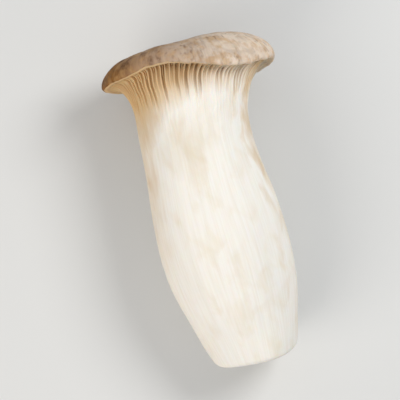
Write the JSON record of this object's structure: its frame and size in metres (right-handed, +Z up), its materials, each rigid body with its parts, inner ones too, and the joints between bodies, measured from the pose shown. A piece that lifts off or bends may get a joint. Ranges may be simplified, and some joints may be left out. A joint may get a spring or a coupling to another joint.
{
  "type": "king oyster mushroom",
  "caption": "Whole king oyster mushroom lying on its side: a thick pale stem that swells towards its trimmed foot, a low brown cap, and gills that run down under the cap.",
  "frame": {"origin": "middle of the bounding box's underside, level with the surface that the mushroom lies on", "axes": "+Z up from that surface, +Y along the mushroom from its cut foot to its cap, +X across it"},
  "size_m": [0.059, 0.1104, 0.0506],
  "materials": {
    "mushroom_flesh": "matte raw mushroom: cream stem, ochre gills and a mottled brown cap skin"
  },
  "bodies": {
    "root": {"king_oyster_mushroom": "mushroom_flesh"}
  },
  "joints": []
}
